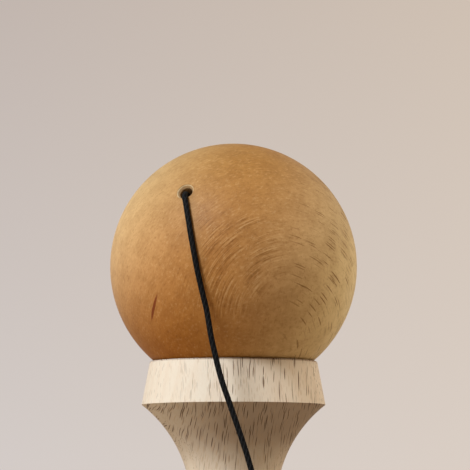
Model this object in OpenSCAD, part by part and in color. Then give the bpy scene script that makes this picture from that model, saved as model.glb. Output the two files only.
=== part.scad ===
// Cup-and-ball toy: a turned handle pushed through a pair of cross cups, and a bored
// ball that rests on the larger cross cup and is tied to the handle by a thin string.
// The toy stands on the rim of the smaller cross cup. +Z is up, +X runs along the
// handle from the spike to the base cup, and the string holes open towards -Y.

/* [Ball] */
// Diameter of the ball
ball_d = 60; // [59:0.25:61]
// Diameter of the hole that drops over the spike
spike_hole_d = 20.5; // [20:0.25:21]
// Depth of the spike hole
spike_hole_depth = 38; // [36:0.5:39]
// Diameter of the string hole in the ball
ball_string_hole_d = 3.2; // [3:0.1:3.6]
// Elevation of the ball's string hole above the horizon, in degrees
hole_elevation = 33.5; // [32:0.5:35]
// Turn of the ball's string hole away from the front, in degrees
hole_turn = 27.5; // [26:0.5:29]
// Diameter of the bead that holds the string inside the ball
bead_d = 8; // [7.6:0.1:8.2]

/* [Cross cups] */
// Height from the small cup's rim to the big cup's rim
cups_h = 71; // [70:0.25:72]
// Largest diameter of the big cup
big_cup_d = 44.6; // [44:0.1:45.2]
// Outer diameter of the big cup's rim
big_rim_d = 40.8; // [40.4:0.1:41.2]
// Diameter of the ring on the big cup's rim where the ball sits
big_seat_d = 38.4; // [38:0.1:38.8]
// Depth of the big cup's hollow
big_hollow = 11; // [10.5:0.25:11.5]
// Largest diameter of the small cup
small_cup_d = 40; // [39.5:0.1:40.5]
// Outer diameter of the small cup's rim
small_rim_d = 37.2; // [36.8:0.1:37.6]
// Diameter of the seating ring on the small cup's rim
small_seat_d = 33.6; // [33:0.1:34]
// Depth of the small cup's hollow
small_hollow = 9; // [8.5:0.25:9.5]
// Diameter of the waist that the handle passes through
waist_d = 22; // [21.6:0.1:22.4]
// Diameter of the handle's seat through the waist
handle_seat_d = 15; // [14.6:0.1:15.2]

/* [Handle] */
// Length of the handle from the spike's tip to the base cup's rim
handle_len = 170; // [168:0.5:172]
// Distance from the spike's tip to the cross cups' axis
spike_reach = 72; // [71:0.5:73]
// Diameter of the spike's tip
tip_d = 4.4; // [4:0.1:5]
// Diameter of the grip where it leaves the cross cups
grip_d = 16; // [15.6:0.1:16.4]
// Diameter of the grip before its ridge
grip_end_d = 17.2; // [16.8:0.1:17.4]
// Diameter of the ridge that stops the fingers
ridge_d = 21.2; // [20.6:0.1:22]
// Diameter of the neck below the ridge
neck_d = 15; // [14.5:0.25:15.5]
// Largest diameter of the base cup
base_cup_d = 36; // [35.5:0.1:36.5]
// Outer diameter of the base cup's rim
base_rim_d = 34.6; // [34.2:0.1:35]
// Diameter of the seating ring on the base cup's rim
base_seat_d = 31.4; // [31:0.1:31.8]
// Depth of the base cup's hollow
base_hollow = 8; // [7.5:0.25:8.5]

/* [String] */
// Diameter of the string
string_d = 1.4; // [1.3:0.05:1.5]
// Diameter of the coil at the middle of its turns
coil_d = 16; // [15.5:0.1:16.5]

/* [Hidden] */
$fn = 96;

// Ball and its inner seat
ball_r = ball_d / 2;
string_r = string_d / 2;
ball_gap = 0.13;
lip_drop = 0.25;
ball_z = cups_h - lip_drop + sqrt(pow(ball_r, 2) - pow(big_seat_d / 2, 2)) + ball_gap;
spike_hole_end = spike_hole_depth - ball_r;
spike_hole_bevel = 0.8;
bead_r = bead_d / 2;
bead_clearance = 0.3;
bead_pocket_r = bead_r + 0.4;
bead_pocket_depth = 12;
bead_pocket_end = spike_hole_end + bead_pocket_depth;
bead_z = bead_pocket_end + bead_pocket_r - sqrt(2) * (bead_r + bead_clearance);
bead_bore_r = string_r + 0.2;
hole_countersink_r = 2.3;
hole_countersink_depth = 0.8;

// Knots, each a little lump that can't pass its hole
knot_r = 1.8;
bead_knot_z = bead_z - sqrt(pow(bead_r, 2) - pow(bead_bore_r, 2))
              - sqrt(pow(knot_r, 2) - pow(bead_bore_r, 2));
loose_end = 4.2;
string_exit_radius = ball_r - 2;

// Cross cups
big_cup_r = big_cup_d / 2;
small_cup_r = small_cup_d / 2;
waist_r = waist_d / 2;
handle_axis_z = cups_h / 2;
big_band = 10.6;
big_flare_r = 31;
small_band = 9.5;
small_flare_r = 27;
rim_land = 0.3;
rim_bevel = 0.5;
waist_cut = 0.7;
lip_r = 0.7;
dish_steps = 10;
flare_steps = 14;

// Handle, measured along its length from the cross cups' axis
handle_seat_r = handle_seat_d / 2;
seat_half = 11.4;
shoulder = 0.4;
spike_root_r = handle_seat_r - 0.2;
grip_end_at = 57;
ridge_at = 67;
neck_at = ridge_at + 10;
base_band = 9;
base_rim_at = handle_len - spike_reach;
base_flare_r = 13;
cups_x = spike_reach - handle_len / 2;
handle_string_hole_r = 1.5;
knot_pocket_r = 2.4;
knot_pocket_y = 4.5;
string_inlet = 10;
anchor_knot_y = knot_pocket_y + sqrt(pow(knot_r, 2) - pow(handle_string_hole_r, 2));

// String coil, two turns wide and two turns high, in front of the cups
coil_x = 6.3;
coil_y = -44;
coil_side = 2 * string_d;
ring_sides = 8;

// The string over the ball: turn and elevation in degrees, and distance from its centre
over_ball_route = [
    [27.5, 33.5, 28], [27.4, 33.2, 28.8], [27.1, 32.6, 29.5], [26.7, 31.7, 30.1],
    [26.1, 30.5, 30.6], [25.4, 29, 30.9], [24.1, 26, 30.9], [22.5, 21.5, 30.9],
    [20.8, 16, 30.9], [19.4, 10.5, 30.9], [18.1, 5, 30.9], [17, -0.5, 30.9],
    [15.9, -6, 31], [14.7, -11.5, 31.3], [13.3, -16.8, 32], [12, -21.5, 32.8]];

// The string's drop in front of the cups, down to the coil
drop_route = [
    [-6.3, -29.9, 81.5], [-5.8, -30.3, 78.5], [-5.2, -30.8, 75], [-4.4, -31.3, 71.5],
    [-3.6, -31.8, 68], [-2.6, -32.3, 64.5], [-1.4, -32.8, 61], [-0.2, -33.3, 57.5],
    [1, -33.8, 54], [2.2, -34.3, 50.5], [3.3, -34.8, 47], [4.3, -35.2, 43.5],
    [5.4, -35.6, 40], [6.5, -36, 36.5], [7.7, -36.3, 33], [8.9, -36.6, 29.5],
    [10, -36.9, 26], [11.1, -37.1, 22.5], [12.1, -37.3, 19], [13, -37.5, 15.5],
    [13.8, -37.7, 12], [14.4, -38.2, 8.5], [14.8, -39.2, 5.3], [15, -41.2, 2.9],
    [15, -44, 2.1]];

// The string from the coil back up to the hole in the cross cups
tail_route = [
    [-2.4, -44, 0.7], [-2.4, -40.5, 0.7], [-2.2, -37, 0.7], [-1.9, -33.5, 0.7],
    [-1.5, -30, 0.8], [-1.1, -27, 1.6], [-0.8, -25, 3.8], [-0.6, -23.8, 7],
    [-0.4, -23, 10.5], [-0.3, -22.1, 14], [-0.2, -21.1, 17.5], [-0.1, -20, 21],
    [0, -18.9, 24.5], [0, -17.8, 28], [0, -16.6, 31.3], [0, -14.7, 34.2],
    [0, -12.2, 35.4], [0, -10, 35.5]];

function unit(v) = v / norm(v);

// Point at a turn and an elevation, at a distance from the ball's centre
function around_ball(p) =
    [-p[2] * cos(p[1]) * sin(p[0]), -p[2] * cos(p[1]) * cos(p[0]), ball_z + p[2] * sin(p[1])];

// Direction of a route at point i
function heading(route, i) =
    unit(route[min(i + 1, len(route) - 1)] - route[max(i - 1, 0)]);

// Side vectors carried along a route without twisting
function sides(route) =
    let (n = len(route), start = unit(cross(heading(route, 0), [0.3, 0.2, 1])))
    [for (i = 0, s = start; i < n;
          i = i + 1, s = i < n ? unit(s - (s * heading(route, i)) * heading(route, i)) : s) s];

// One round tube along a route
module tube(route, r) {
    n = len(route);
    side = sides(route);
    points = [for (i = [0:n - 1]) let (across = cross(heading(route, i), side[i]))
        for (k = [0:ring_sides - 1]) let (a = 360 * k / ring_sides)
            route[i] + r * (cos(a) * side[i] + sin(a) * across)];
    walls = [for (i = [0:n - 2]) for (k = [0:ring_sides - 1])
        let (a = i * ring_sides + k, b = i * ring_sides + (k + 1) % ring_sides)
            [a, a + ring_sides, b + ring_sides, b]];
    first_end = [for (k = [0:ring_sides - 1]) k];
    last_end = [for (k = [ring_sides - 1:-1:0]) (n - 1) * ring_sides + k];
    polyhedron(points, concat([first_end], walls, [last_end]));
}

// Inner outline of a round hollow, from its rim to its middle: radius and height
function dish(seat_r, depth) =
    let (edge_r = seat_r - rim_land, hollow = depth - rim_bevel,
         sphere_r = (pow(edge_r, 2) + pow(hollow, 2)) / (2 * hollow),
         span = asin(edge_r / sphere_r))
    [for (i = [0:dish_steps]) let (a = span * (1 - i / dish_steps))
        [sphere_r * sin(a), sphere_r * (1 - cos(a)) - depth]];

// Outer outline of a cup from its rim down to its waist: radius and height
function cup_side(seat_r, rim_r, cup_r, band, flare_r, waist) =
    let (centre_r = waist - waist_cut + flare_r,
         widest = acos((centre_r - cup_r) / flare_r),
         narrowest = acos((centre_r - waist) / flare_r))
    concat(
        [[seat_r + rim_land, 0]],
        [for (a = [90:-15:15]) [rim_r - lip_r + lip_r * cos(a), lip_r * sin(a) - lip_r]],
        [for (i = [0:flare_steps]) let (a = widest + (narrowest - widest) * i / flare_steps)
            [centre_r - flare_r * cos(a), flare_r * (sin(a) - sin(widest)) - band]]);

// Reversed list, and an outline turned upside down
function reversed(list) = [for (i = [len(list) - 1:-1:0]) list[i]];
function upside_down(outline) = [for (p = outline) [p[0], -p[1]]];
function raised(outline, z) = [for (p = outline) [p[0], p[1] + z]];

// Smooth rise from one radius to another along the handle
function swell(s0, r0, s1, r1, steps) =
    [for (i = [0:steps]) let (t = i / steps)
        [r0 + (r1 - r0) * (1 - cos(180 * t)) / 2, s0 + (s1 - s0) * t]];

// Ogive spike from its root to its rounded tip
function spike(steps) =
    let (tip_r = tip_d / 2, tip_s = tip_r - spike_reach, root_s = -seat_half - shoulder)
    concat(
        [for (a = [0:15:75]) [tip_r * sin(a), tip_s - tip_r * cos(a)]],
        [for (i = [0:steps]) let (t = i / steps)
            [tip_r + (spike_root_r - tip_r) * sin(90 * t), tip_s + (root_s - tip_s) * t]]);

module in_ball_frame() {
    translate([0, 0, ball_z]) rotate([90 - hole_elevation, 0, -hole_turn]) children();
}

module on_cups_axis() {
    translate([cups_x, 0, 0]) children();
}

// Bored ball: string hole on its upper front, spike hole opposite, bead seat between
module ball() {
    mouth = sqrt(pow(ball_r, 2) - pow(spike_hole_d / 2, 2));
    color("peru") on_cups_axis() in_ball_frame() difference() {
        sphere(r = ball_r, $fn = 128);
        translate([0, 0, -ball_r - 1]) cylinder(r = spike_hole_d / 2, h = spike_hole_depth + 1);
        translate([0, 0, -mouth - 1])
            cylinder(r1 = spike_hole_d / 2 + spike_hole_bevel + 1, r2 = spike_hole_d / 2,
                     h = spike_hole_bevel + 1);
        translate([0, 0, spike_hole_end - 1])
            cylinder(r = bead_pocket_r, h = bead_pocket_end - spike_hole_end + 1);
        translate([0, 0, bead_pocket_end])
            cylinder(r1 = bead_pocket_r, r2 = 0, h = bead_pocket_r);
        cylinder(d = ball_string_hole_d, h = ball_r + 1);
        translate([0, 0, ball_r - hole_countersink_depth])
            cylinder(r1 = ball_string_hole_d / 2, r2 = hole_countersink_r + 0.5,
                     h = hole_countersink_depth + 0.6);
    }
}

// Both cups and their waist, turned as one piece and bored across for the handle
module cross_cups() {
    big = cup_side(big_seat_d / 2, big_rim_d / 2, big_cup_r, big_band, big_flare_r, waist_r);
    small = cup_side(small_seat_d / 2, small_rim_d / 2, small_cup_r, small_band,
                     small_flare_r, waist_r);
    outline = concat(
        reversed(raised(dish(big_seat_d / 2, big_hollow), cups_h)),
        raised(big, cups_h),
        reversed(upside_down(small)),
        upside_down(dish(small_seat_d / 2, small_hollow)));
    color("wheat") on_cups_axis() difference() {
        rotate_extrude($fn = 128) polygon(outline);
        translate([-waist_r - 1, 0, handle_axis_z]) rotate([0, 90, 0])
            cylinder(r = handle_seat_r, h = 2 * waist_r + 2);
        translate([0, 0, handle_axis_z]) rotate([90, 0, 0])
            cylinder(r = handle_string_hole_r, h = waist_r + 1);
        translate([0, 1 - waist_r, handle_axis_z]) rotate([90, 0, 0])
            cylinder(r1 = handle_string_hole_r - 0.4, r2 = hole_countersink_r + 0.4, h = 2);
    }
}

// Handle turned in one piece: spike, seat, grip with its ridge, neck and base cup
module handle() {
    base = cup_side(base_seat_d / 2, base_rim_d / 2, base_cup_d / 2, base_band,
                    base_flare_r, neck_d / 2);
    grip_r = grip_d / 2;
    grip_end_r = grip_end_d / 2;
    outline = concat(
        reversed(raised(dish(base_seat_d / 2, base_hollow), base_rim_at)),
        raised(base, base_rim_at),
        reversed(swell(ridge_at + 1, ridge_d / 2, neck_at, neck_d / 2, 10)),
        reversed(swell(grip_end_at, grip_end_r, ridge_at, ridge_d / 2, 10)),
        [[grip_r, seat_half + shoulder]],
        [[handle_seat_r, seat_half], [handle_seat_r, -seat_half]],
        reversed(spike(20)));
    color("burlywood") on_cups_axis() translate([0, 0, handle_axis_z]) difference() {
        rotate([0, 90, 0]) rotate_extrude() polygon(outline);
        translate([0, knot_pocket_y + 1, 0]) rotate([90, 0, 0])
            cylinder(r = handle_string_hole_r, h = 2 * handle_seat_r);
        translate([0, handle_seat_r + 1, 0]) rotate([90, 0, 0])
            cylinder(r = knot_pocket_r, h = handle_seat_r + 1 - knot_pocket_y);
    }
}

// Bored bead that stops the string from pulling out of the ball
module string_bead() {
    color("saddlebrown") on_cups_axis() in_ball_frame() translate([0, 0, bead_z]) difference() {
        sphere(r = bead_r, $fn = 64);
        cylinder(r = bead_bore_r, h = bead_d + 2, center = true);
    }
}

module knot_lump() {
    difference() {
        sphere(r = knot_r, $fn = 48);
        cylinder(r = string_r, h = 3 * knot_r, center = true);
    }
}

module bead_knot() {
    color("black") on_cups_axis() in_ball_frame() translate([0, 0, bead_knot_z]) knot_lump();
}

// String from its loose end under the knot, through the bead, to just inside the hole
module string_in_ball() {
    color("black") on_cups_axis() in_ball_frame() translate([0, 0, bead_knot_z - loose_end])
        cylinder(r = string_r, h = string_exit_radius - bead_knot_z + loose_end);
}

module string_over_ball() {
    color("black") on_cups_axis() tube([for (p = over_ball_route) around_ball(p)], string_r);
}

module string_drop() {
    color("black") on_cups_axis() tube(drop_route, string_r);
}

module string_coil() {
    color("black") on_cups_axis() translate([coil_x, coil_y, 0]) rotate_extrude()
        translate([(coil_d - coil_side) / 2, 0]) square(coil_side);
}

module string_tail() {
    color("black") on_cups_axis() tube(tail_route, string_r);
}

// String from the front hole of the cross cups to the knot behind the handle's hole
module string_in_handle() {
    color("black") on_cups_axis() translate([0, -string_inlet, handle_axis_z])
        rotate([-90, 0, 0]) cylinder(r = string_r, h = string_inlet + anchor_knot_y + knot_r);
}

module anchor_knot() {
    color("black") on_cups_axis() translate([0, anchor_knot_y, handle_axis_z])
        rotate([90, 0, 0]) knot_lump();
}

ball();
cross_cups();
handle();
string_bead();
bead_knot();
string_in_ball();
string_over_ball();
string_drop();
string_coil();
string_tail();
string_in_handle();
anchor_knot();
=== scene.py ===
"""Looks of a wooden cup-and-ball toy: amber lacquered ball, bare beech cups and handle, and one
thin black braided string with its knots. Lengths are in metres unless a comment says mm."""

import math

import bpy
import numpy as np
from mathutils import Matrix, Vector


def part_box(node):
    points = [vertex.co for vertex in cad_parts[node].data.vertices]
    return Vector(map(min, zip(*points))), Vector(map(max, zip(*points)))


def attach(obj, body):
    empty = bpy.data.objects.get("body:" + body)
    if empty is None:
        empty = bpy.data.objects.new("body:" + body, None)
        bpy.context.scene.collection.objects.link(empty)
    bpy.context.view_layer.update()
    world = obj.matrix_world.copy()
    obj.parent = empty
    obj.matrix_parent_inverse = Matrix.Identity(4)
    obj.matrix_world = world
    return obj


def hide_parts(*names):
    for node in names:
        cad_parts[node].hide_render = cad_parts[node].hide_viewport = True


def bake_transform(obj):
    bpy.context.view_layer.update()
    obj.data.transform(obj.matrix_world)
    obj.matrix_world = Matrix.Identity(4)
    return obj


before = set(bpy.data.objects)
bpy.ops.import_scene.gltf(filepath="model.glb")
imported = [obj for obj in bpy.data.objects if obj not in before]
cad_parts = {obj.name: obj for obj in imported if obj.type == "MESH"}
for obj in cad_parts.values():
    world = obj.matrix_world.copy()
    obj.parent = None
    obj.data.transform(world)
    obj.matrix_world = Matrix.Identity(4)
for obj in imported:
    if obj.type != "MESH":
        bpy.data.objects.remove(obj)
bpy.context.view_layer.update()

MM = 0.001
HOLDER = "handle_and_cups"
STRING_END = "string_end"

# ---------------------------------------------------------------- places from the frame
cups_low, cups_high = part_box("cross_cups")
_, ball_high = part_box("ball")
BALL_R_MM = 30
BALL_R = BALL_R_MM * MM
AXIS_X = (cups_low.x + cups_high.x) / 2
HANDLE_Z = (cups_low.z + cups_high.z) / 2
BALL_CENTRE = Vector((AXIS_X, 0, ball_high.z - BALL_R))
HOLE_TURN = 27.5
HOLE_ELEVATION = 33.5
STRING_R = 0.7 * MM


def aim(turn, elevation):
    """Direction at a turn to the left of the front and an elevation, in degrees."""
    t, e = math.radians(turn), math.radians(elevation)
    return Vector((-math.cos(e) * math.sin(t), -math.cos(e) * math.cos(t), math.sin(e)))


HOLE_AXIS = aim(HOLE_TURN, HOLE_ELEVATION)

# ---------------------------------------------------------------- camera
CAMERA_DISTANCE = 1.0
CAMERA_HEIGHT = 0.026
AIM_HEIGHT = BALL_CENTRE.z + 7.8 * MM
AIM_SIDE = 0.35 * MM
FOCAL_LENGTH_MM = 315.6
SENSOR_WIDTH_MM = 36


def make_camera():
    data = bpy.data.cameras.new("camera")
    data.lens = FOCAL_LENGTH_MM
    data.sensor_width = SENSOR_WIDTH_MM
    camera = bpy.data.objects.new("camera", data)
    bpy.context.scene.collection.objects.link(camera)
    camera.location = (AXIS_X + AIM_SIDE, -CAMERA_DISTANCE, CAMERA_HEIGHT)
    look = Vector((AXIS_X + AIM_SIDE, 0, AIM_HEIGHT)) - camera.location
    camera.rotation_euler = look.to_track_quat("-Z", "Y").to_euler()
    bpy.context.scene.camera = camera


# ---------------------------------------------------------------- the string's route
# On the ball: turn and elevation in degrees, and distance from the ball's centre in mm.
OVER_BALL = [
    (27.5, 33.5, 28), (27.4, 33.2, 28.8), (27.1, 32.6, 29.5), (26.7, 31.7, 30.1),
    (26.1, 30.5, 30.6), (25.4, 29, 30.9), (24.1, 26, 30.9), (22.5, 21.5, 30.9),
    (20.8, 16, 30.9), (19.4, 10.5, 30.9), (18.1, 5, 30.9), (17, -0.5, 30.9),
    (15.9, -6, 31), (14.7, -11.5, 31.3), (13.3, -16.8, 32)]
# Down to the table, and from the coil up to the cups' hole: mm from the foot of the cups' axis.
DROP = [
    (-6.3, -29.9, 81.5), (-5.8, -30.3, 78.5), (-5.2, -30.8, 75), (-4.4, -31.3, 71.5),
    (-3.6, -31.8, 68), (-2.6, -32.3, 64.5), (-1.4, -32.8, 61), (-0.2, -33.3, 57.5),
    (1, -33.8, 54), (2.2, -34.3, 50.5), (3.3, -34.8, 47), (4.3, -35.2, 43.5),
    (5.4, -35.6, 40), (6.5, -36, 36.5), (7.7, -36.3, 33), (8.9, -36.6, 29.5),
    (10, -36.9, 26), (11.1, -37.1, 22.5), (12.1, -37.3, 19), (13, -37.5, 15.5),
    (13.8, -37.7, 12), (14.4, -38.2, 8.5), (14.8, -39.2, 5.3), (15, -41.2, 2.9)]
TAIL = [
    (-2.4, -40.5, 0.7), (-2.2, -37, 0.7), (-1.9, -33.5, 0.7),
    (-1.5, -30, 0.8), (-1.1, -27, 1.6), (-0.8, -25, 3.8), (-0.6, -23.8, 7),
    (-0.4, -23, 10.5), (-0.3, -22.1, 14), (-0.2, -21.1, 17.5), (-0.1, -20, 21),
    (0, -18.9, 24.5), (0, -17.8, 28), (0, -16.6, 31.3), (0, -14.7, 34.2),
    (0, -12.2, 35.4), (0, -10, 35.5)]
# The coil's middle, its inner and outer radius and its low and high layer, all in mm.
COIL_X, COIL_Y = 6.3, -44
COIL_RADII = (7.3, 8.7)
COIL_HEIGHTS = (0.7, 2.1)
COIL_STEPS = 24
COIL_SHIFT_STEPS = 4
SPLINE_PARTS = 12


def coil_points():
    """Three and a half turns: high outer, high inner, low inner, and half of the low outer one."""
    inner, outer = COIL_RADII
    low, high = COIL_HEIGHTS
    turns = [(outer, high), (inner, high), (inner, low), (outer, low)]
    last = len(turns) - 1
    points = []
    for number, (radius, height) in enumerate(turns):
        next_radius, next_height = turns[min(number + 1, last)]
        for step in range(COIL_STEPS // 2 + 1 if number == last else COIL_STEPS):
            angle = -2 * math.pi * step / COIL_STEPS
            shift = max(0, step - COIL_STEPS + COIL_SHIFT_STEPS) / COIL_SHIFT_STEPS
            r = radius + shift * (next_radius - radius)
            z = height + shift * (next_height - height)
            points.append((COIL_X + r * math.cos(angle), COIL_Y + r * math.sin(angle), z))
    return points


def route_points():
    """The whole string, from just inside the ball's hole to the hole in the cups."""
    over = [BALL_CENTRE + aim(t, e) * r * MM for t, e, r in OVER_BALL]
    rest = [Vector((x * MM + AXIS_X, y * MM, z * MM)) for x, y, z in DROP + coil_points() + TAIL]
    return over + rest


def running_sum(steps):
    """Sums of the first 0, 1, 2 and so on up to all of the steps."""
    return np.concatenate([[0], np.cumsum(steps)])


def step_lengths(line):
    return np.linalg.norm(np.diff(line, axis=0), axis=1)


def smooth_line(points, step):
    """Curve through the points (Catmull-Rom, knots at square-root distances), at an even step."""
    p = np.array([tuple(q) for q in points])
    p = np.vstack([2 * p[0] - p[1], p, 2 * p[-1] - p[-2]])
    knots = running_sum(np.sqrt(step_lengths(p)))
    fine = []
    for i in range(1, len(p) - 2):
        t0, t1, t2, t3 = knots[i - 1:i + 3]
        for t in np.linspace(t1, t2, SPLINE_PARTS, endpoint=False):
            a1 = ((t1 - t) * p[i - 1] + (t - t0) * p[i]) / (t1 - t0)
            a2 = ((t2 - t) * p[i] + (t - t1) * p[i + 1]) / (t2 - t1)
            a3 = ((t3 - t) * p[i + 1] + (t - t2) * p[i + 2]) / (t3 - t2)
            b1 = ((t2 - t) * a1 + (t - t0) * a2) / (t2 - t0)
            b2 = ((t3 - t) * a2 + (t - t1) * a3) / (t3 - t1)
            fine.append(((t2 - t) * b1 + (t - t1) * b2) / (t2 - t1))
    fine = np.array(fine + [p[-2]])
    along = running_sum(step_lengths(fine))
    even = np.linspace(0, along[-1], int(along[-1] / step) + 1)
    return np.stack([np.interp(even, along, fine[:, k]) for k in range(3)], axis=1)


# ---------------------------------------------------------------- the braided string's mesh
CORD_SIDES = 16
CORD_STEP = 0.3 * MM
BRAID_PITCH = 3.4 * MM
BRAID_DEPTH = 0.09 * MM
BRAID_STRANDS = 4
BRAID_ROUNDNESS = 0.6
FIRST_SIDE = (0.3, 0.2, 1.0)


def side_vectors(line, closed):
    """Unit tangents and untwisted side vectors at each point of a line."""
    if closed:
        tangent = np.roll(line, -1, axis=0) - np.roll(line, 1, axis=0)
    else:
        tangent = np.gradient(line, axis=0)
    tangent /= np.linalg.norm(tangent, axis=1)[:, None]
    side = np.cross(tangent[0], FIRST_SIDE)
    sides = []
    for t in tangent:
        side = side - side.dot(t) * t
        side = side / np.linalg.norm(side)
        sides.append(side)
    return tangent, np.array(sides)


def braid_height(distance, angle):
    """Two crossing sets of strands: how far the surface stands out, from 0 to 1."""
    turn = 4 * math.pi * distance / BRAID_PITCH
    right = 0.5 + 0.5 * np.cos(BRAID_STRANDS * angle + turn)
    left = 0.5 + 0.5 * np.cos(BRAID_STRANDS * angle - turn)
    return np.maximum(right, left) ** BRAID_ROUNDNESS


def tube_faces(count, closed):
    """Quads round and along a tube of rings, and a flat face at each open end."""
    faces = []
    for i in range(count if closed else count - 1):
        here = i * CORD_SIDES
        ahead = (i + 1) % count * CORD_SIDES
        for k in range(CORD_SIDES):
            j = (k + 1) % CORD_SIDES
            faces.append((here + k, here + j, ahead + j, ahead + k))
    if not closed:
        faces.append(tuple(range(CORD_SIDES - 1, -1, -1)))
        faces.append(tuple((count - 1) * CORD_SIDES + k for k in range(CORD_SIDES)))
    return faces


def tube_mesh(name, line, radius, closed=False):
    """A round braided tube along a line, with flat ends or closed on itself."""
    tangent, side = side_vectors(line, closed)
    across = np.cross(tangent, side)
    count = len(line)
    twist = math.atan2(side[-1].dot(across[0]), side[-1].dot(side[0])) if closed else 0
    untwist = twist * np.arange(count)[:, None] / count
    angle = 2 * math.pi * np.arange(CORD_SIDES)[None, :] / CORD_SIDES - untwist
    height = braid_height(running_sum(step_lengths(line))[:, None], angle)
    r = radius - BRAID_DEPTH * (1 - height)
    ring = np.cos(angle)[:, :, None] * side[:, None, :] + np.sin(angle)[:, :, None] * across[:, None, :]
    co = (line[:, None, :] + r[:, :, None] * ring).reshape(-1, 3)
    mesh = bpy.data.meshes.new(name)
    mesh.from_pydata([tuple(c) for c in co], [], tube_faces(count, closed))
    strand = mesh.attributes.new("strand", "FLOAT", "POINT")
    strand.data.foreach_set("value", height.ravel().astype(np.float32))
    for polygon in mesh.polygons:
        polygon.use_smooth = True
    piece = bpy.data.objects.new(name, mesh)
    bpy.context.scene.collection.objects.link(piece)
    return piece


KNOT_LOOP_R = 0.82 * MM
KNOT_CORE_R = 0.48 * MM
KNOT_STRING_R = 0.5 * MM
KNOT_STEPS = 120


def knot(name, node, body, axis):
    """An overhand knot pulled tight round its own string, in place of a CAD lump."""
    low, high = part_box(node)
    stand = Vector((0, 0, 1)).rotation_difference(axis).to_matrix()
    line = []
    for step in range(KNOT_STEPS):
        t = 2 * math.pi * step / KNOT_STEPS
        reach = KNOT_LOOP_R + KNOT_CORE_R * math.cos(3 * t)
        rise = KNOT_CORE_R * math.sin(3 * t)
        point = Vector((reach * math.cos(2 * t), reach * math.sin(2 * t), rise))
        line.append(tuple((low + high) / 2 + stand @ point))
    piece = tube_mesh(name, np.array(line), KNOT_STRING_R, closed=True)
    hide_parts(node)
    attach(piece, body)
    return piece


make_camera()
string_line = smooth_line(route_points(), CORD_STEP)
string = tube_mesh("braided_string", string_line, STRING_R)
knots = [knot("knot_under_bead", "bead_knot", STRING_END, HOLE_AXIS),
         knot("knot_in_handle", "anchor_knot", HOLDER, Vector((0, 1, 0)))]


# ---------------------------------------------------------------- shader graph helper
class Graph:
    """Short names for building the nodes of one material or of the world."""

    def __init__(self, owner, shader):
        owner.use_nodes = True
        self.owner = owner
        self.tree = owner.node_tree
        self.shader = self.tree.nodes[shader]

    def node(self, kind, **settings):
        made = self.tree.nodes.new(kind)
        for key, value in settings.items():
            setattr(made, key, value)
        return made

    def feed(self, socket, value):
        if isinstance(value, bpy.types.NodeSocket):
            self.tree.links.new(value, socket)
        else:
            socket.default_value = value

    def surface(self, name, value):
        self.feed(self.shader.inputs[name], value)

    def math(self, operation, a, b=0.0):
        made = self.node("ShaderNodeMath", operation=operation)
        self.feed(made.inputs[0], a)
        self.feed(made.inputs[1], b)
        return made.outputs[0]

    def vector_math(self, operation, *values):
        made = self.node("ShaderNodeVectorMath", operation=operation)
        for socket, value in zip(made.inputs, values):
            self.feed(socket, value)
        return made.outputs

    def dot(self, vector, axis):
        return self.vector_math("DOT_PRODUCT", vector, tuple(axis))["Value"]

    def length(self, vector):
        return self.vector_math("LENGTH", vector)["Value"]

    def add_scaled(self, colour, factor, step):
        """The colour plus a constant step of colour times a factor."""
        return self.vector_math("MULTIPLY_ADD", factor, step, colour)[0]

    def scaled(self, value, factor):
        return self.math("MULTIPLY", value, factor)

    def stretched(self, place, sizes):
        """The three parts of a place, each measured in its own size."""
        made = self.node("ShaderNodeCombineXYZ")
        for socket, value, size in zip(made.inputs, place, sizes):
            self.feed(socket, value if size == 1 else self.scaled(value, 1 / size))
        return made.outputs[0]

    def noise(self, vector, scale, detail=3.0, roughness=0.5):
        made = self.node("ShaderNodeTexNoise")
        self.feed(made.inputs["Vector"], vector)
        self.feed(made.inputs["Scale"], scale)
        self.feed(made.inputs["Detail"], detail)
        self.feed(made.inputs["Roughness"], roughness)
        return made.outputs["Fac"]

    def cells(self, vector):
        """Voronoi cells: distance to the nearest cell point and that cell's random value."""
        made = self.node("ShaderNodeTexVoronoi")
        self.feed(made.inputs["Vector"], vector)
        self.feed(made.inputs["Scale"], 1.0)
        split = self.node("ShaderNodeSeparateColor")
        self.feed(split.inputs[0], made.outputs["Color"])
        return made.outputs["Distance"], split.outputs[0]

    def ramp(self, value, low, high, to_low=0.0, to_high=1.0, kind="SMOOTHSTEP"):
        """Smooth or linear step from to_low at low to to_high at high."""
        made = self.node("ShaderNodeMapRange", interpolation_type=kind)
        self.feed(made.inputs["Value"], value)
        self.feed(made.inputs["From Min"], low)
        self.feed(made.inputs["From Max"], high)
        self.feed(made.inputs["To Min"], to_low)
        self.feed(made.inputs["To Max"], to_high)
        return made.outputs[0]

    def mix(self, factor, a, b, blend="MIX"):
        made = self.node("ShaderNodeMix", data_type="RGBA", blend_type=blend)
        self.feed(made.inputs[0], factor)
        self.feed(made.inputs[6], a)
        self.feed(made.inputs[7], b)
        return made.outputs[2]

    def darken(self, factor, tone, line):
        """The tone multiplied by a line's colour, as far as the factor says."""
        return self.mix(factor, tone, line, "MULTIPLY")

    def bump(self, height, strength, distance):
        made = self.node("ShaderNodeBump")
        self.feed(made.inputs["Strength"], strength)
        self.feed(made.inputs["Distance"], distance)
        self.feed(made.inputs["Height"], height)
        return made.outputs["Normal"]

    def coordinate(self, kind):
        return self.node("ShaderNodeTexCoord").outputs[kind]


def material_graph(name):
    return Graph(bpy.data.materials.new(name), "Principled BSDF")


def srgb(red, green, blue):
    """A colour given on the 0 to 255 display scale, as the linear one that a shader takes."""
    def linear(value):
        c = value / 255
        return c / 12.92 if c <= 0.04045 else ((c + 0.055) / 1.055) ** 2.4
    return (linear(red), linear(green), linear(blue), 1.0)


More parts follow.
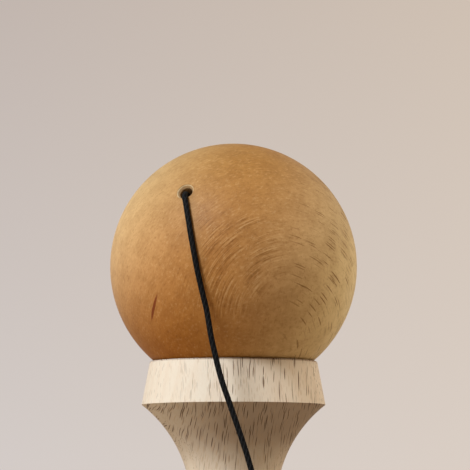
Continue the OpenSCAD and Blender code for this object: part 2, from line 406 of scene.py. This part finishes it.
# ---------------------------------------------------------------- wood: shared parts
# Sizes inside the wood are in mm. A fleck's kind is its size across, along the fibre and
# outwards, its width as a share of the cell, and about how many of the cells have one.
# A ramp is where it starts and ends, and, if they aren't 0 and 1, its values there.
FLECK_CORE = 0.65
FLECK_FADE = 0.3
RING_BEND_SCALE = 0.09
RING_RISE = (0.3, 0.9)
RING_FALL = (0.92, 1.0, 1.0, 0.0)
GRAIN_ROUGHNESS = 0.6


def wood_axes(fibre, across):
    """Unit vectors out from the tree's middle, round its rings and along the fibre."""
    w = Vector(fibre).normalized()
    u = (Vector(across) - Vector(across).dot(w) * w).normalized()
    return u, w.cross(u), w


def along_axes(g, place, axes):
    return [g.dot(place, axis) for axis in axes]


def from_centre(g, centre):
    """Place relative to a centre, in mm."""
    moved = g.vector_math("SUBTRACT", g.coordinate("Object"), tuple(centre))[0]
    return g.vector_math("MULTIPLY", moved, (1 / MM, 1 / MM, 1 / MM))[0]


def flecks(g, place, size, width, chance):
    """Random little spindles, 1 inside them and 0 between them."""
    across, tall, deep = size
    u, v, w = place
    distance, luck = g.cells(g.stretched((v, w, u), (across, tall, deep)))
    shape = g.ramp(distance, width, width * FLECK_CORE)
    shown = g.ramp(luck, 1 - chance, min(1.0, 1 - chance + FLECK_FADE))
    return g.math("MULTIPLY", shape, shown)


def rings(g, place, gap, wobble):
    """Growth rings: a slow rise and a quick fall across each one."""
    bend = g.noise(g.stretched(place, (1, 1, 4)), RING_BEND_SCALE, 2.0)
    turn = g.math("FRACT", g.math("ADD", g.scaled(place[0], 1 / gap), g.scaled(bend, wobble)))
    return g.math("MULTIPLY", g.ramp(turn, *RING_RISE), g.ramp(turn, *RING_FALL))


def fibres(g, place, across, along, low, high):
    """Fine fibres: noise drawn out along the grain, between two levels."""
    drawn = g.noise(g.stretched(place, (across, across, along)), 1.0, 3.0, GRAIN_ROUGHNESS)
    return g.ramp(drawn, low, high)


# ---------------------------------------------------------------- wood: the ball
BALL_FIBRE = (0.24, -0.53, 0.81)
BALL_ACROSS = (-0.453, 0.68, 0.579)
# The amber at the ball's middle, and its steps per ball radius: to the right, up, right squared
# (sides), right times up (slant) and up squared (ends). They began as another script's
# least-squares fit to the photo's colours on the ball, and all but the ends were then adjusted by
# hand. They may hold some of the photo's lighting.
# Painted light: the amber and its steps are partly the lacquer's tint and partly painted sheen and
# shade, lighter towards both sides and darker in the middle.
BALL_AMBER = (0.390, 0.177, 0.049)
BALL_DRIFT_RIGHT = (0.056, 0.086, 0.056)
BALL_DRIFT_UP = (-0.046, -0.022, -0.007)
BALL_DRIFT_SIDES = (0.215, 0.24, 0.15)
BALL_DRIFT_SLANT = (-0.216, -0.226, -0.128)
BALL_DRIFT_ENDS = (-0.067, -0.018, -0.008)
BALL_LINE = (0.56, 0.46, 0.34, 1.0)
BALL_DASH = (0.3, 0.18, 0.08, 1.0)
BALL_PALE = srgb(232, 196, 140)
# The deeper bare wood in the countersink and the holes, darkened with painted shade.
BALL_CONE_SHADE = srgb(160, 126, 86)
BALL_BARE = srgb(214, 188, 144)
BALL_MARK = srgb(112, 44, 20)
BALL_SHINE = 0.11
BALL_ROUGHNESS = (0.3, 0.7, 0.46, 0.56)
BALL_PORE = ((0.34, 1.8, 0.4), 0.44, 0.4)
PORE_STRENGTH = 0.3
CLOUD_DARK = (0.38, 0.64, 0.0, 0.24)
MOTTLE_SIZE = (0.5, 1.1, 0.8)
MOTTLE_LIGHT = (0.53, 0.7, 0.0, 0.13)
MOTTLE_DARK = (0.48, 0.32, 0.0, 0.3)
BALL_RING_GAP = 2.3
BALL_RING_WOBBLE = 1.4
BALL_RING_STRENGTH = 0.07
# Distances from the ball's middle at which the lacquer stops, and at which the countersink's painted
# shade gives way to paler bare wood near its rim.
BARE_START = (29.94, 29.86)
CONE_EDGE = (29.75, 30.0)
CONE_EDGE_WAVE = 0.3

# The scraped arcs: the direction of their patch, the layers that they follow, and their lines.
COMBED_PATCH = (-0.04, -1.0, 0.02)
PATCH_EDGE = (25.0, 29.0)
COMB_LAYERS = (0.424, -0.805, -0.415)
COMB_GAP = 0.65
COMB_BEND = 14.0
COMB_LINE_SIZE = (9, 9, 0.18)
COMB_LINE_HEIGHT = 0.8
COMB_WAVE_HEIGHT = 0.03
COMB_BASE_HEIGHT = 0.1
COMB_BREAKS = (0.36, 0.56)
COMB_INSIDE, COMB_ELSEWHERE = 0.8, 0.04
COMB_DARK = (0.5, 0.6, 0.0, 0.7)
COMB_LIGHT = (0.46, 0.38, 0.0, 0.2)

# The dark dashes: the direction of their side and the layers that they follow. An optimiser
# found the layers' direction from the angles of 16 dashes in the photo.
DASHED_SIDE = (1.0, -0.1, -0.1)
DASH_EDGE = (12.5, 22.0, 0.05, 1.0)
DASH_LAYERS = (0.112, -0.628, -0.770)
FINE_DASH = ((5.2, 0.3, 5.2), 0.43, 0.46)
BOLD_DASH = ((7.5, 0.38, 7.5), 0.42, 0.2)
FINE_DASH_STRENGTH = 0.8
DASH_STRENGTH = 0.9

# The reddish streak: its direction from the ball's middle, its half sizes and its edge.
MARK_PLACE = (-0.634, -0.680, -0.370)
MARK_HALF_LENGTH = 4.5
MARK_HALF_WIDTH = 0.46
MARK_SIDE_DEPTH = 20.0
MARK_EDGE = (1.0, 0.35)
MARK_STRENGTH = 0.85


def mark_on_ball(g, place):
    """One reddish mineral streak, drawn out along the grain."""
    middle = Vector(MARK_PLACE).normalized()
    along = Vector(BALL_FIBRE).normalized()
    along = (along - along.dot(middle) * middle).normalized()
    across = middle.cross(along)
    y = g.math("SUBTRACT", g.dot(place, along), BALL_R_MM * middle.dot(along))
    y = g.scaled(y, 1 / MARK_HALF_LENGTH)
    x = g.scaled(g.dot(place, across), 1 / MARK_HALF_WIDTH)
    far = g.math("ADD", g.math("MULTIPLY", x, x), g.math("MULTIPLY", y, y))
    front = g.math("GREATER_THAN", g.dot(place, middle), MARK_SIDE_DEPTH)
    return g.math("MULTIPLY", g.ramp(far, *MARK_EDGE), front)


def ball_tint_and_painted_light(g, place):
    """The lacquer's amber, which drifts slowly with the place to the right and upwards: partly the
    wood's own tint and partly painted sheen and shade, lighter towards both sides and darker in the
    middle.
    """
    right = g.scaled(g.dot(place, (1, 0, 0)), 1 / BALL_R_MM)
    up = g.scaled(g.dot(place, (0, 0, 1)), 1 / BALL_R_MM)
    tone = g.add_scaled(BALL_AMBER, right, BALL_DRIFT_RIGHT)
    tone = g.add_scaled(tone, up, BALL_DRIFT_UP)
    tone = g.add_scaled(tone, g.math("MULTIPLY", right, right), BALL_DRIFT_SIDES)
    tone = g.add_scaled(tone, g.math("MULTIPLY", right, up), BALL_DRIFT_SLANT)
    return g.add_scaled(tone, g.math("MULTIPLY", up, up), BALL_DRIFT_ENDS)


def comb_marks(g, place, body, cloud):
    """The scraped arcs on the ball's front: their height, and how much of them each place has."""
    patch = g.ramp(g.dot(place, Vector(COMBED_PATCH).normalized()), *PATCH_EDGE)
    layers = along_axes(g, place, wood_axes(COMB_LAYERS, BALL_ACROSS))
    lines = g.noise(g.stretched(layers, COMB_LINE_SIZE), 1.0, 2.0, GRAIN_ROUGHNESS)
    turn = g.math("ADD", g.scaled(layers[2], 2 * math.pi / COMB_GAP), g.scaled(cloud, COMB_BEND))
    wave = g.math("ADD", g.scaled(g.math("SINE", turn), COMB_WAVE_HEIGHT), COMB_BASE_HEIGHT)
    height = g.math("ADD", g.scaled(lines, COMB_LINE_HEIGHT), wave)
    broken = g.ramp(g.noise(body, 0.2, 2.0), *COMB_BREAKS)
    amount = g.math("ADD", g.scaled(patch, COMB_INSIDE), COMB_ELSEWHERE)
    return height, g.math("MULTIPLY", amount, broken)


def side_dashes(g, place):
    """Short dark dashes on the ball's right side, fine ones and a few bold ones."""
    side = g.ramp(g.dot(place, DASHED_SIDE), *DASH_EDGE)
    layers = along_axes(g, place, wood_axes(DASH_LAYERS, BALL_ACROSS))
    fine = g.scaled(flecks(g, layers, *FINE_DASH), FINE_DASH_STRENGTH)
    bold = flecks(g, layers, *BOLD_DASH)
    return g.math("MULTIPLY", g.math("MAXIMUM", fine, bold), side)


def ball_wood():
    """Amber beech with a thin satin lacquer, whose slow drift is partly painted sheen and shade, and
    bare wood in the countersink and the holes, browner deeper in with painted shade.
    """
    g = material_graph("ball_wood")
    place = from_centre(g, BALL_CENTRE)
    grain = along_axes(g, place, wood_axes(BALL_FIBRE, BALL_ACROSS))
    body = g.stretched(grain, (1, 1, 1))
    slow = g.noise(body, 0.07, 2.5)
    cloud = g.noise(body, 0.25)
    # The base amber, partly the lacquer's tint and partly painted sheen and shade.
    tone = ball_tint_and_painted_light(g, place)
    growth = rings(g, grain, BALL_RING_GAP, BALL_RING_WOBBLE)
    tone = g.darken(g.ramp(cloud, *CLOUD_DARK), tone, BALL_LINE)
    tone = g.darken(g.scaled(growth, BALL_RING_STRENGTH), tone, BALL_LINE)

    comb, combed = comb_marks(g, place, body, cloud)
    tone = g.darken(g.math("MULTIPLY", g.ramp(comb, *COMB_DARK), combed), tone, BALL_LINE)
    tone = g.mix(g.math("MULTIPLY", g.ramp(comb, *COMB_LIGHT), combed), tone, BALL_PALE)

    mottle = g.noise(g.stretched(grain, MOTTLE_SIZE), 1.0, 3.0, GRAIN_ROUGHNESS)
    pores = flecks(g, grain, *BALL_PORE)
    tone = g.mix(g.ramp(mottle, *MOTTLE_LIGHT), tone, BALL_PALE)
    tone = g.darken(g.ramp(mottle, *MOTTLE_DARK), tone, BALL_LINE)
    tone = g.darken(g.scaled(pores, PORE_STRENGTH), tone, BALL_LINE)

    dashes = side_dashes(g, place)
    tone = g.darken(g.scaled(dashes, DASH_STRENGTH), tone, BALL_DASH)
    tone = g.mix(g.scaled(mark_on_ball(g, place), MARK_STRENGTH), tone, BALL_MARK)

    reach = g.length(place)
    # Painted shade: the bare wood turns browner deeper in the countersink and the holes.
    cone_shade_edge = g.ramp(g.math("ADD", reach, g.scaled(mottle, CONE_EDGE_WAVE)), *CONE_EDGE)
    bare = g.ramp(reach, *BARE_START)
    tone = g.mix(bare, tone, g.mix(cone_shade_edge, BALL_CONE_SHADE, BALL_BARE))
    relief = g.math("SUBTRACT", g.math("MULTIPLY", comb, combed),
                    g.scaled(g.math("ADD", pores, dashes), 0.5))
    g.surface("Base Color", tone)
    g.surface("Roughness", g.ramp(slow, *BALL_ROUGHNESS))
    g.surface("Specular IOR Level", BALL_SHINE)
    g.surface("Normal", g.bump(relief, 0.5, 0.12 * MM))
    return g.owner


# ---------------------------------------------------------------- wood: cups, handle and bead
BARE_CREAM = srgb(213, 199, 177)
BARE_TAN = srgb(211, 194, 170)
# The end grain's brown is partly the wood's colour and partly painted shade.
BARE_END_GRAIN_AND_SHADE = srgb(116, 88, 62)
BARE_RING = srgb(202, 172, 140)
BARE_FIBRE = srgb(206, 178, 146)
BARE_FAINT_RAY = srgb(176, 146, 112)
BARE_RAY = (0.16, 0.078, 0.03, 1.0)
BARE_SHINE = 0.3
BARE_ROUGHNESS = (0.3, 0.7, 0.62, 0.74)
BARE_RING_GAP = 3.1
BARE_RING_WOBBLE = 1.2
BARE_RING_STRENGTH = 0.16
BARE_FIBRES = (0.2, 2.4, 0.42, 0.72)
BARE_FIBRE_STRENGTH = 0.28
RELIEF_FIBRES = (0.16, 1.8, 0.3, 0.7)
LONG_RAY = ((0.33, 7.6, 10.0), 0.41, 0.26)
SHORT_RAY = ((0.28, 4.2, 7.0), 0.42, 0.38)
FAINT_RAY = ((0.3, 2.4, 5.0), 0.44, 0.6)
NEEDLE = ((0.3, 3.4, 0.4), 0.42, 0.44)
END_RAY = ((0.27, 6.5, 6.0), 0.42, 0.5)
FAINT_STRENGTH = 0.45
END_RAY_STRENGTH = 0.85
RAY_WAVE = 1.2
# How far the surface faces along the fibre, and along the thin side of the ray flecks.
END_GRAIN_FACING = (0.2, 0.62)
EDGE_ON_FACING = (0.9, 0.6)
# Over the distance from the middle towards the busy side. The end grain's brown holds painted shade,
# and on the cups it is weaker towards the lit left side.
BUSY_RAMP = (-15.0, 6.0, 0.3, 1.0)
BROWN_AND_SHADE_RAMP = (-22.0, 2.0, 0.26, 0.66)
TAN_DISTANCE = 60
TAN_RAMP = (0.15, 0.85)


def bare_rays(g, grain, edge_on, end_grain):
    """Dark ray flecks: plates seen edge-on, needles where they lie flat, and more on end grain."""
    layered = g.math("MAXIMUM", flecks(g, grain, *LONG_RAY), flecks(g, grain, *SHORT_RAY))
    layered = g.math("MULTIPLY", layered, edge_on)
    flat = g.math("MULTIPLY", flecks(g, grain, *NEEDLE), g.math("SUBTRACT", 1.0, edge_on))
    crowded = g.math("MULTIPLY", flecks(g, grain, *END_RAY), g.scaled(end_grain, END_RAY_STRENGTH))
    return g.math("MAXIMUM", g.math("MAXIMUM", layered, flat), crowded)


def bare_wood(name, centre, fibre, across, busy_side=(0, 0, 1)):
    """Pale sanded beech without a finish: dense dark ray flecks, and browner end grain, partly the
    wood's own colour and partly painted shade, weaker on the lit left of the cups.
    """
    g = material_graph(name)
    place = from_centre(g, centre)
    axes = wood_axes(fibre, across)
    grain = along_axes(g, place, axes)
    towards_busy = g.dot(place, busy_side)
    normal = g.coordinate("Normal")
    end_grain = g.ramp(g.math("ABSOLUTE", g.dot(normal, axes[2])), *END_GRAIN_FACING)
    edge_on = g.ramp(g.math("ABSOLUTE", g.dot(normal, axes[1])), *EDGE_ON_FACING)
    slow = g.noise(g.stretched(grain, (1, 1, 2.5)), 0.06, 2.5)
    sway = g.scaled(g.noise(g.stretched(grain, (1, 1, 2)), 0.2, 1.0), RAY_WAVE)
    warped = [grain[0], g.math("ADD", grain[1], sway), grain[2]]
    rays = bare_rays(g, warped, edge_on, end_grain)
    faint = g.math("MULTIPLY", flecks(g, warped, *FAINT_RAY), edge_on)
    busy = g.math("MAXIMUM", g.ramp(towards_busy, *BUSY_RAMP), end_grain)

    drift = g.math("ADD", g.scaled(towards_busy, 1 / TAN_DISTANCE), slow)
    growth = rings(g, grain, BARE_RING_GAP, BARE_RING_WOBBLE)
    fibre_lines = fibres(g, grain, *BARE_FIBRES)
    brown = g.math("MULTIPLY", end_grain, g.ramp(towards_busy, *BROWN_AND_SHADE_RAMP))
    tone = g.mix(g.ramp(drift, *TAN_RAMP), BARE_CREAM, BARE_TAN)
    tone = g.mix(g.scaled(growth, BARE_RING_STRENGTH), tone, BARE_RING)
    tone = g.mix(g.scaled(fibre_lines, BARE_FIBRE_STRENGTH), tone, BARE_FIBRE)
    # Painted shade: the end grain is darker than the wood alone, less so on the lit left of the cups.
    tone = g.mix(brown, tone, BARE_END_GRAIN_AND_SHADE)
    tone = g.mix(g.scaled(faint, FAINT_STRENGTH), tone, BARE_FAINT_RAY)
    tone = g.darken(g.math("MULTIPLY", rays, busy), tone, BARE_RAY)
    relief = g.math("SUBTRACT", g.scaled(fibres(g, grain, *RELIEF_FIBRES), 0.4),
                    g.scaled(rays, 0.5))
    g.surface("Base Color", tone)
    g.surface("Roughness", g.ramp(slow, *BARE_ROUGHNESS))
    g.surface("Specular IOR Level", BARE_SHINE)
    g.surface("Normal", g.bump(relief, 0.3, 0.06 * MM))
    return g.owner


# ---------------------------------------------------------------- the string's cloth
# The valley tone holds painted shade and the crest tone a painted glint.
CLOTH_VALLEY_SHADE = srgb(2, 2, 2)
CLOTH_CREST_GLINT = srgb(34, 34, 35)
CLOTH_FLUFF = srgb(58, 50, 42)
CLOTH_SHINE = 0.1
CLOTH_ROUGHNESS = (0.3, 0.7, 0.6, 0.8)
CREST_GLINT_EDGE = (0.8, 1.0)
FLUFF_SCALE = 2500.0
FLUFF_RAMP = (0.55, 0.8, 0.0, 0.3)


def string_cloth():
    """Black braided polyester: painted shade in the valleys between strands, a painted glint on their
    crests, and a faint brown-grey fluff.
    """
    g = material_graph("black_braid")
    fluff = g.noise(g.coordinate("Object"), FLUFF_SCALE)
    strand = g.node("ShaderNodeAttribute", attribute_name="strand").outputs["Fac"]
    # Painted shade in the valleys and a painted glint on the strands' crests.
    tone = g.mix(g.ramp(strand, *CREST_GLINT_EDGE), CLOTH_VALLEY_SHADE, CLOTH_CREST_GLINT)
    tone = g.mix(g.ramp(fluff, *FLUFF_RAMP), tone, CLOTH_FLUFF)
    g.surface("Base Color", tone)
    g.surface("Roughness", g.ramp(fluff, *CLOTH_ROUGHNESS))
    g.surface("Specular IOR Level", CLOTH_SHINE)
    g.surface("Normal", g.bump(fluff, 0.4, 0.05 * MM))
    return g.owner


# ---------------------------------------------------------------- materials on the pieces
WELD_DISTANCE = 0.004 * MM
SHARP_EDGE = math.radians(28)


def paint(piece, material):
    piece.data.materials.clear()
    piece.data.materials.append(material)


def smooth_cad(part):
    """Soft shading on the round faces of a turned part, and sharp edges where they meet."""
    for polygon in part.data.polygons:
        polygon.use_smooth = True
    weld = part.modifiers.new("weld", "WELD")
    weld.merge_threshold = WELD_DISTANCE
    split = part.modifiers.new("edges", "EDGE_SPLIT")
    split.split_angle = SHARP_EDGE


CUPS_MIDDLE = (AXIS_X, 0, HANDLE_Z)
CUP_GRAIN_TURN = math.radians(9)
CUP_FIBRE = (0.02, 0.03, 1)
CUP_ACROSS = (-math.sin(CUP_GRAIN_TURN), math.cos(CUP_GRAIN_TURN), 0)
HANDLE_FIBRE = (1, 0.01, 0.02)
HANDLE_ACROSS = (0, 0.5, 0.85)
woods = {
    "ball": ball_wood(),
    "cross_cups": bare_wood("cup_wood", CUPS_MIDDLE, CUP_FIBRE, CUP_ACROSS, (1, 0, 0)),
    "handle": bare_wood("handle_wood", CUPS_MIDDLE, HANDLE_FIBRE, HANDLE_ACROSS),
    "string_bead": bare_wood("bead_wood", BALL_CENTRE, HOLE_AXIS, (1, 0, 0))}
for node, wood in woods.items():
    paint(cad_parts[node], wood)
    smooth_cad(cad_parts[node])
braid = string_cloth()
for cloth_piece in (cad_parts["string_in_ball"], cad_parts["string_in_handle"],
                    string, *knots):
    paint(cloth_piece, braid)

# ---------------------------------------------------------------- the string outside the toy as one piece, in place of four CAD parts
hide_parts("string_over_ball", "string_drop", "string_coil", "string_tail")
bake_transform(string)


# ---------------------------------------------------------------- floor, light and surroundings
def area_light(name, place, target, size, power, colour, shiny=False):
    data = bpy.data.lights.new(name, "AREA")
    data.shape = "DISK"
    data.size = size
    data.energy = power
    data.color = colour
    lamp = bpy.data.objects.new(name, data)
    bpy.context.scene.collection.objects.link(lamp)
    lamp.location = place
    lamp.rotation_euler = (Vector(target) - Vector(place)).to_track_quat("-Z", "Y").to_euler()
    lamp.visible_glossy = shiny


FLOOR = srgb(172, 156, 136)
FLOOR_SHADE = srgb(150, 134, 114)
FLOOR_REACH = 1.6
FLOOR_CORNERS = 96
FLOOR_FADE = (1.5, 0.35)
PAPER_GRAIN = 900.0


def make_floor():
    """A matt paper sweep whose far part fades into the surroundings."""
    rim = []
    for corner in range(FLOOR_CORNERS):
        angle = 2 * math.pi * corner / FLOOR_CORNERS
        rim.append((FLOOR_REACH * math.cos(angle), FLOOR_REACH * math.sin(angle), 0.0))
    mesh = bpy.data.meshes.new("floor")
    mesh.from_pydata(rim, [], [tuple(range(FLOOR_CORNERS))])
    floor = bpy.data.objects.new("floor", mesh)
    bpy.context.scene.collection.objects.link(floor)
    g = material_graph("floor_paint")
    paper = g.noise(g.coordinate("Object"), PAPER_GRAIN)
    g.surface("Base Color", g.mix(g.scaled(paper, 0.1), FLOOR, FLOOR_SHADE))
    g.surface("Alpha", g.ramp(g.length(g.coordinate("Object")), *FLOOR_FADE))
    g.surface("Roughness", 0.7)
    paint(floor, g.owner)


# Each backdrop height has its left and right colour. The steps are over the look direction's
# three parts: to the right, to the back and up.
BACKDROP_LOW = (srgb(211, 203, 199), srgb(218, 206, 196))
BACKDROP_HIGH = (srgb(193, 181, 174), srgb(207, 192, 178))
ROOM = srgb(136, 122, 104)
RIGHT_STEP = (-0.06, 0.06)
BEHIND_STEP = (-0.6, 0.9)
HIGH_STEP = (0.02, 0.135)


def make_world():
    """A pale warm backdrop, darker higher up and warmer to the right, and a dim room in front."""
    world = bpy.data.worlds.new("studio")
    bpy.context.scene.world = world
    g = Graph(world, "Background")
    split = g.node("ShaderNodeSeparateXYZ")
    g.feed(split.inputs[0], g.coordinate("Generated"))
    right = g.ramp(split.outputs["X"], *RIGHT_STEP, kind="LINEAR")
    high = g.ramp(split.outputs["Z"], *HIGH_STEP, kind="LINEAR")
    behind = g.ramp(split.outputs["Y"], *BEHIND_STEP)
    backdrop = g.mix(high, g.mix(right, *BACKDROP_LOW), g.mix(right, *BACKDROP_HIGH))
    g.surface("Color", g.mix(behind, ROOM, backdrop))
    g.surface("Strength", 1.0)


make_floor()
make_world()
area_light("key", (AXIS_X - 0.682, -0.758, 1.136), (AXIS_X, 0, 0.08),
           size=0.4, power=28.0, colour=(0.76, 0.86, 1.0), shiny=True)
area_light("fill", (AXIS_X + 0.85, 0.1, 0.95), (AXIS_X, 0, 0.08),
           size=0.7, power=10.0, colour=(1.0, 0.96, 0.9))
area_light("left_bounce", (AXIS_X - 1.1, -0.2, 0.1), (AXIS_X, 0, 0.07),
           size=0.6, power=3.4, colour=(1.0, 0.93, 0.82))

bpy.context.scene.view_settings.view_transform = "Standard"
